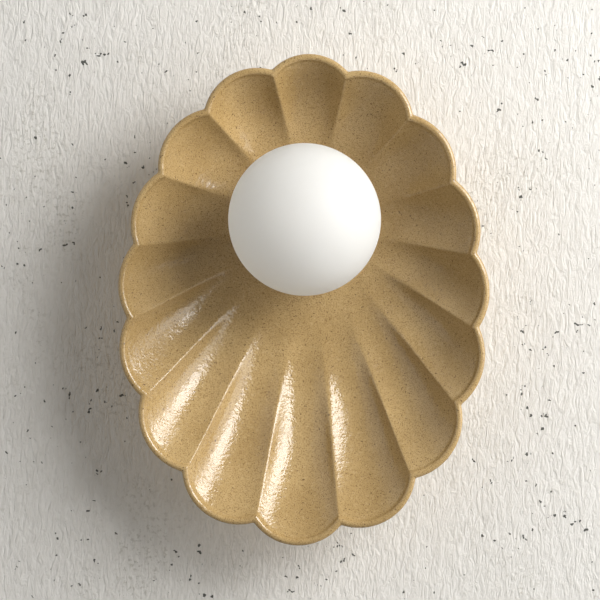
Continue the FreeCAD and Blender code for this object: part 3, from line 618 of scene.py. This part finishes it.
def makeGlobe():
    middle = (0.0, globe["middle"])
    outer, inner = globe["radius"], globe["radius"] - globe["wall"]
    fillet, rim = globe["neckFillet"], globe["neckRim"]
    neck, bore, back = globe["neckRadius"], globe["neckBore"], globe["neckBack"]
    # the fillet between ball and neck touches both
    reach = outer + fillet
    side = neck + fillet
    tilt = math.degrees(math.asin(side / reach))
    filletMiddle = (side, globe["middle"] - reach * math.cos(math.radians(tilt)))
    profile = arcRow(middle, outer, 180, tilt, globe["ballRows"])
    profile += arcRow(filletMiddle, fillet, tilt + 180, 270, globe["filletRows"])[1:]
    profile += [(neck, back + globe["outerStep"])]
    profile += arcRow((neck - rim, back + rim), rim, 90, 0, globe["rimRows"])
    profile += arcRow((bore + rim, back + rim), rim, 0, -90, globe["rimRows"])
    innerTilt = math.degrees(math.asin(bore / inner))
    innerStart = globe["middle"] - inner * math.cos(math.radians(innerTilt))
    profile += [(bore, back + globe["innerStep"]), (bore, innerStart - globe["boreEnd"])]
    profile += arcRow(middle, inner, innerTilt, 180, globe["insideRows"])
    profile[0] = (globe["pole"], globe["middle"] + outer)
    profile[-1] = (globe["pole"], globe["middle"] + inner)
    return addTurned("globe_opal", profile, globe["segments"], closed=False)


opal = {
    "colours": ((0.975, 0.975, 0.965), (0.99, 0.99, 0.98)),
    "tone": (9.0, 2.0),
    "grain": (1400.0, 1.0),
    "roughness": (0.42, 0.50),
    "depth": 0.00001,               # metres
    "through": 0.68,                # share of the light that it lets in and out
}


def makeOpalGlass():
    # scatters light into and out of the hollow ball, so its dark side glows
    material, tree, shader = newMaterial("opal glass")
    colour = mixColour(tree, noise(tree, *opal["tone"]), *opal["colours"])
    coat(tree, shader, colour, noise(tree, *opal["grain"]), opal["roughness"], opal["depth"])
    through = addNode(tree, "BsdfTranslucent", {"Color": colour})
    mixShaders(tree, opal["through"], shader, through)
    return material


globePiece = makeGlobe()
globePiece.data.materials.append(makeOpalGlass())
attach(globePiece, "globe")
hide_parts("globe_glass")
print("globe made")

# finishes of the fittings
metal = {
    "clouds": (45.0, 3.0, 0.6, 0.40, 0.75),   # of tarnish: noise, start, full
    "tarnished": 0.78,              # brightness of the colour there
    "smoother": 0.07,
    "rougher": 0.09,
    "depth": 0.000015,              # metres
}


def makeMetal(name, colour, roughness, grain, brushed=None, tarnish=0.5):
    material, tree, shader = newMaterial(name)
    feed(tree, shader, {"Metallic": 1.0})
    dull = tuple(value * metal["tarnished"] for value in colour)
    shade = mixColour(tree, patches(tree, *metal["clouds"], tarnish), colour, dull)
    vector = stretched(tree, brushed) if brushed else None
    lines = noise(tree, grain, vector=vector)
    spread = (roughness - metal["smoother"], roughness + metal["rougher"])
    coat(tree, shader, shade, lines, spread, metal["depth"])
    return material


matte = {
    "patches": (80.0, 3.0),
    "smoother": 0.06,
    "rougher": 0.08,
}


def makeMatte(name, colour, roughness, grain=1200.0, depth=0.00002, variation=0.12):
    material, tree, shader = newMaterial(name)
    darker = tuple(value * (1 - variation) for value in colour)
    shade = mixColour(tree, noise(tree, *matte["patches"]), colour, darker)
    spread = (roughness - matte["smoother"], roughness + matte["rougher"])
    coat(tree, shader, shade, noise(tree, grain), spread, depth)
    return material


striped = {
    "yellow": (0.62, 0.50, 0.03),
    "green": (0.03, 0.26, 0.06),
    "edge": (0.62, 0.68),           # how far the surface faces the wall or the room
    "grain": 1500.0,
    "roughness": (0.34, 0.46),
    "depth": 0.00001,               # metres
}


def makeStripedInsulation():
    # yellow with a green stripe along both faces
    material, tree, shader = newMaterial("green and yellow insulation")
    normal = addNode(tree, "NewGeometry").outputs["Normal"]
    parts = addNode(tree, "SeparateXYZ", {"Vector": normal})
    facing = combine(tree, "ABSOLUTE", parts.outputs["Y"])
    stripe = remap(tree, facing, *striped["edge"])
    colour = mixColour(tree, stripe, striped["yellow"], striped["green"])
    grain = noise(tree, striped["grain"])
    coat(tree, shader, colour, grain, striped["roughness"], striped["depth"])
    return material


zincSteel = makeMetal("zinc plated steel", (0.64, 0.65, 0.66), 0.36, 260.0, tarnish=0.60)
threadSteel = makeMetal("threaded steel", (0.60, 0.61, 0.62), 0.33, 1500.0)
yellowBrass = makeMetal("turned brass", (0.78, 0.57, 0.27), 0.28, 1800.0, brushed=(1, 30, 1))
satinBrass = makeMetal("satin brass", (0.74, 0.55, 0.28), 0.36, 1400.0, brushed=(1, 24, 1))
springBronze = makeMetal("spring bronze", (0.66, 0.42, 0.24), 0.34, 900.0)
tinnedCopper = makeMetal("tinned copper", (0.70, 0.68, 0.65), 0.32, 900.0)
steatite = makeMatte("white steatite", (0.80, 0.79, 0.74), 0.50, 700.0, 0.00003, 0.06)
blackRubber = makeMatte("black rubber", (0.018, 0.018, 0.019), 0.62, 900.0, 0.00003, 0.35)
greySilicone = makeMatte("grey silicone", (0.52, 0.52, 0.50), 0.48, 600.0, 0.00001, 0.10)
whitePolyamide = makeMatte("white polyamide", (0.76, 0.76, 0.73), 0.42, 500.0, 0.00002, 0.06)
brownInsulation = makeMatte("brown insulation", (0.115, 0.045, 0.018), 0.40)
blueInsulation = makeMatte("blue insulation", (0.020, 0.085, 0.300), 0.40)
frostedCover = makeMatte("frosted cover", (0.86, 0.86, 0.82), 0.45, 1800.0, 0.00001, 0.03)

finishes = {
    "wall_plate": zincSteel,
    "back_washer": zincSteel,
    "lock_washer": zincSteel,
    "holder_bracket": zincSteel,
    "holder_screws": threadSteel,
    "block_screws": threadSteel,
    "terminal_screws": threadSteel,
    "bulb_pins": threadSteel,
    "hex_nut": yellowBrass,
    "cup_nut": yellowBrass,
    "terminal_clamps": yellowBrass,
    "earth_screw": yellowBrass,
    "holder_contacts": springBronze,
    "earth_tag": tinnedCopper,
    "lampholder": steatite,
    "bulb_base": steatite,
    "plate_grommet": blackRubber,
    "back_gasket": greySilicone,
    "front_gasket": greySilicone,
    "globe_seal": greySilicone,
    "terminal_block": whitePolyamide,
    "bulb_board": whitePolyamide,
    "live_lead": brownInsulation,
    "neutral_lead": blueInsulation,
    "earth_lead": makeStripedInsulation(),
    "bulb_cover": frostedCover,
}
for name, finish in finishes.items():
    slots = nodes[name].data.materials
    slots.clear()
    slots.append(finish)
print("fittings finished")

# the brass cup with the globe's thread
cup = {
    "radius": 16.0,
    "wall": 1.5,
    "base": 28.0,                   # depths from the wall, mm
    "floor": 29.5,
    "mouth": 42.0,
    "flange": 21.0,                 # radius
    "flangeEdge": 0.4,
    "hole": 5.05,
    "root": 0.2,                    # where the thread meets the flange
    "mouthEdge": 0.3,
    "pitch": 4.0,
    "threadHeight": 0.9,
    "threadRows": 70,
    "segments": 120,
}


def makeCup():
    outer, inner = cup["radius"], cup["radius"] - cup["wall"]
    base, floor, mouth = cup["base"], cup["floor"], cup["mouth"]
    flange, bevel = cup["flange"], cup["flangeEdge"]
    root, edge = cup["root"], cup["mouthEdge"]
    profile = [(cup["hole"], base), (flange - bevel, base), (flange, base + bevel),
               (flange, floor - bevel), (flange - bevel, floor), (outer + root, floor)]
    first = len(profile)
    for depth in np.linspace(floor + root, mouth - edge, cup["threadRows"]):
        profile.append((outer, depth))
    last = len(profile) - 1
    profile += [(outer - edge, mouth), (inner + edge, mouth), (inner, mouth - edge),
                (inner, floor + edge), (inner - edge, floor), (cup["hole"], floor)]
    threads = (first, last, cup["pitch"], cup["threadHeight"])
    return addTurned("cup_threaded", profile, cup["segments"], threads=threads)


cupPiece = makeCup()
cupPiece.data.materials.append(satinBrass)
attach(cupPiece, "base")
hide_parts("socket_cup")

# the hollow threaded tube through the dish
nipple = {
    "radius": 5.0,
    "bore": 4.0,
    "back": 12.5,                   # depths from the wall, mm
    "front": 35.0,
    "edge": 0.4,
    "pitch": 1.0,
    "threadHeight": 0.5,
    "threadRows": 180,
    "segments": 48,
}


def makeNipple():
    radius, bore, edge = nipple["radius"], nipple["bore"], nipple["edge"]
    back, front = nipple["back"], nipple["front"]
    profile = [(bore, back), (radius - edge, back)]
    first = len(profile)
    for depth in np.linspace(back + edge, front - edge, nipple["threadRows"]):
        profile.append((radius, depth))
    last = len(profile) - 1
    profile += [(radius - edge, front), (bore, front)]
    threads = (first, last, nipple["pitch"], nipple["threadHeight"])
    return addTurned("nipple_threaded", profile, nipple["segments"], threads=threads)


nipplePiece = makeNipple()
nipplePiece.data.materials.append(threadSteel)
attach(nipplePiece, "base")
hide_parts("nipple")

# two knurled screws through the sides of the foot
sideScrew = {
    "tip": 45.0,                    # from the globe's axis, mm
    "seat": 60.0,
    "end": 68.0,
    "shank": 2.0,                   # radii
    "head": 5.0,
    "depth": 10.0,                  # from the wall, mm
    "tipEdge": (0.5, 0.6),          # (in from the radius, along)
    "seatEdge": ((1.2, 0.0), (0.9, 0.6), (0.4, 0.9)),
    "endEdge": ((0.5, 0.5), (1.0, 0.1), (1.6, 0.0), (2.2, 0.4)),
    "knurlStart": 1.4,              # from the seat
    "knurlEnd": 1.2,                # from the end
    "ridges": 36,
    "ridgeHeight": 0.35,
    "pointsPerRidge": 4,
    "pole": 0.01,                   # nearly on the axis
    "seatGap": 0.01,
}


def screwRows():
    # (radius, distance from the globe's axis, knurled or not)
    screw = sideScrew
    tip, seat, end = screw["tip"], screw["seat"], screw["end"]
    shank, head, pole = screw["shank"], screw["head"], screw["pole"]
    edgeIn, edgeAlong = screw["tipEdge"]
    rows = [(pole, tip, 0), (shank - edgeIn, tip, 0), (shank, tip + edgeAlong, 0)]
    rows += [(shank, seat - screw["seatGap"], 0)]
    rows += [(head - inwards, seat + along, 0) for inwards, along in screw["seatEdge"]]
    rows += [(head, seat + screw["knurlStart"], 1), (head, end - screw["knurlEnd"], 1)]
    rows += [(head - inwards, end - along, 0) for inwards, along in screw["endEdge"]]
    rows += [(pole, end - screw["endEdge"][-1][1], 0)]
    return rows


def makeSideScrews():
    segments = sideScrew["ridges"] * sideScrew["pointsPerRidge"]
    angles = np.linspace(0, 2 * math.pi, segments, endpoint=False)
    ridge = sideScrew["ridgeHeight"] * (0.5 - 0.5 * np.cos(angles * sideScrew["ridges"]))
    rows = screwRows()
    verts = []
    faces = []
    for side in (-1, 1):
        first = len(verts)
        for radius, along, knurl in rows:
            for spot, angle in zip(radius - knurl * ridge, angles):
                depth = -sideScrew["depth"] - spot * math.cos(angle)
                verts.append((side * along * mm, depth * mm, spot * math.sin(angle) * mm))
        for face in gridFaces(len(rows), segments):
            faces.append(tuple(first + corner for corner in face))
    return addMesh("side_screws_knurled", verts, faces)


sidePiece = makeSideScrews()
sidePiece.data.materials.append(yellowBrass)
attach(sidePiece, "base")
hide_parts("side_screws")
print("cup, nipple and side screws made")

# the wall behind it, which shows only from the room's side
wall = {
    "size": 5.0,                    # metres
    "colour": (0.800, 0.780, 0.735),
    "shade": (0.690, 0.665, 0.610),     # between the brush strokes
    "dirt": (0.400, 0.375, 0.310),      # dusty patches
    # painted shade: the pits get a near black colour that stands for the shade inside the small
    # holes
    "pitShade": (0.055, 0.058, 0.048),       # small holes
    "stretch": (300, 1, 95),            # noise across and along the strokes, per metre
    "strokes": (1.0, 5.0, 0.6, 1.2),    # noise scale, detail, roughness, distortion
    "strokeShade": (0.35, 0.70, 0.0, 0.5),
    "dusty": (14.0, 3.0, 0.6, 0.47, 0.66),      # noise scale, detail, roughness; start, full
    "dust": (330.0, 4.0, 0.65, 0.50, 0.66),
    "dustShare": 0.55,
    "crowding": (22.0, 2.0, 0.5, 0.42, 0.70, 0.075),
    "holes": (190.0, 2.0, 0.6),
    "holeEdge": (0.710, 0.730),
    # share of the painted shade colour that the pits get
    "pitShadeShare": 0.9,
    "lumps": (60.0, 4.0, 0.55),
    "lumpHeight": 0.8,                  # against the strokes' height
    "holeDepth": 0.5,
    "depth": 0.0015,                    # metres
    "roughness": 0.9,
    "sheen": 0.2,
}


def makePlaster():
    # old lime paint, brushed downwards, with dusty patches and with pits painted near black as
    # the shade inside them
    material, tree, shader = newMaterial("brushed plaster")
    strokes = noise(tree, *wall["strokes"], vector=stretched(tree, wall["stretch"]))
    shade = remap(tree, strokes, *wall["strokeShade"])
    colour = mixColour(tree, shade, wall["colour"], wall["shade"])
    dust = combine(tree, "MULTIPLY", patches(tree, *wall["dusty"]), patches(tree, *wall["dust"]))
    dust = combine(tree, "MULTIPLY", dust, wall["dustShare"])
    colour = mixColour(tree, dust, colour, wall["dirt"])
    holes = combine(tree, "ADD", noise(tree, *wall["holes"]), patches(tree, *wall["crowding"]))
    # painted shade: the pits are coloured near black for the shade that falls inside them
    pits = remap(tree, holes, *wall["holeEdge"])
    paintedPitShade = combine(tree, "MULTIPLY", pits, wall["pitShadeShare"])
    colour = mixColour(tree, paintedPitShade, colour, wall["pitShade"])
    feed(tree, shader, {"Base Color": colour, "Roughness": wall["roughness"],
                        "Specular IOR Level": wall["sheen"]})
    lumps = combine(tree, "MULTIPLY", noise(tree, *wall["lumps"]), wall["lumpHeight"])
    sunk = combine(tree, "MULTIPLY", pits, wall["holeDepth"])
    height = combine(tree, "SUBTRACT", combine(tree, "ADD", strokes, lumps), sunk)
    bump(tree, shader, height, wall["depth"])
    # from behind the wall is clear, so that the back of the light can be looked at
    behind = addNode(tree, "NewGeometry").outputs["Backfacing"]
    mixShaders(tree, behind, shader, addNode(tree, "BsdfTransparent"))
    return material


def makeWall():
    half = wall["size"] / 2
    verts = [(-half, 0, -half), (half, 0, -half), (half, 0, half), (-half, 0, half)]
    plane = addMesh("wall_backdrop", verts, [(0, 1, 2, 3)], smooth=False)
    plane.data.materials.append(makePlaster())
    plane.visible_shadow = False    # the back lamps shine through it


makeWall()

# a window and a bright wall on the right, a weak fill on the left, two lamps behind the wall;
# tilt is degrees away from the camera's axis, turn is degrees about it, from the right upwards
lamps = {
    "window": {"tilt": 53, "turn": 32, "away": 1.5, "size": (0.66, 1.10), "power": 22.0},
    "brightWall": {"tilt": 60, "turn": 11, "away": 1.7, "size": (1.5, 1.4), "power": 18.0},
    "leftFill": {"tilt": 62, "turn": 170, "away": 2.0, "size": (2.4, 2.4), "power": 8.5},
    "backLeft": {"tilt": 172, "turn": 155, "away": 1.8, "size": (0.9, 0.9), "power": 8.0},
    "backRight": {"tilt": 165, "turn": 30, "away": 1.8, "size": (0.9, 0.9), "power": 8.0},
}
lampAim = (0, -0.05, -0.03)         # metres
room = {
    "colour": (1.0, 0.985, 0.96),
    "strength": 0.20,
}


def addLamp(name, tilt, turn, away, size, power):
    tilt, turn = math.radians(tilt), math.radians(turn)
    sideways = math.sin(tilt)
    way = Vector((sideways * math.cos(turn), -math.cos(tilt), sideways * math.sin(turn)))
    around = Vector((-math.sin(turn), 0, math.cos(turn)))
    data = bpy.data.lights.new(name, "AREA")
    data.shape = "RECTANGLE"
    data.size, data.size_y = size
    data.energy = power
    lamp = bpy.data.objects.new(name, data)
    bpy.context.scene.collection.objects.link(lamp)
    lamp.location = Vector(lampAim) + way * away
    facing = Matrix((around, way.cross(around), way)).transposed()
    lamp.rotation_mode = "QUATERNION"
    lamp.rotation_quaternion = facing.to_quaternion()


def lightRoom():
    world = bpy.data.worlds.new("world")
    bpy.context.scene.world = world
    world.use_nodes = True
    background = world.node_tree.nodes["Background"]
    feed(world.node_tree, background, {"Color": room["colour"], "Strength": room["strength"]})


for name, lamp in lamps.items():
    addLamp(name, **lamp)
lightRoom()
bpy.context.scene.view_settings.view_transform = "Standard"
print("wall and lamps placed")
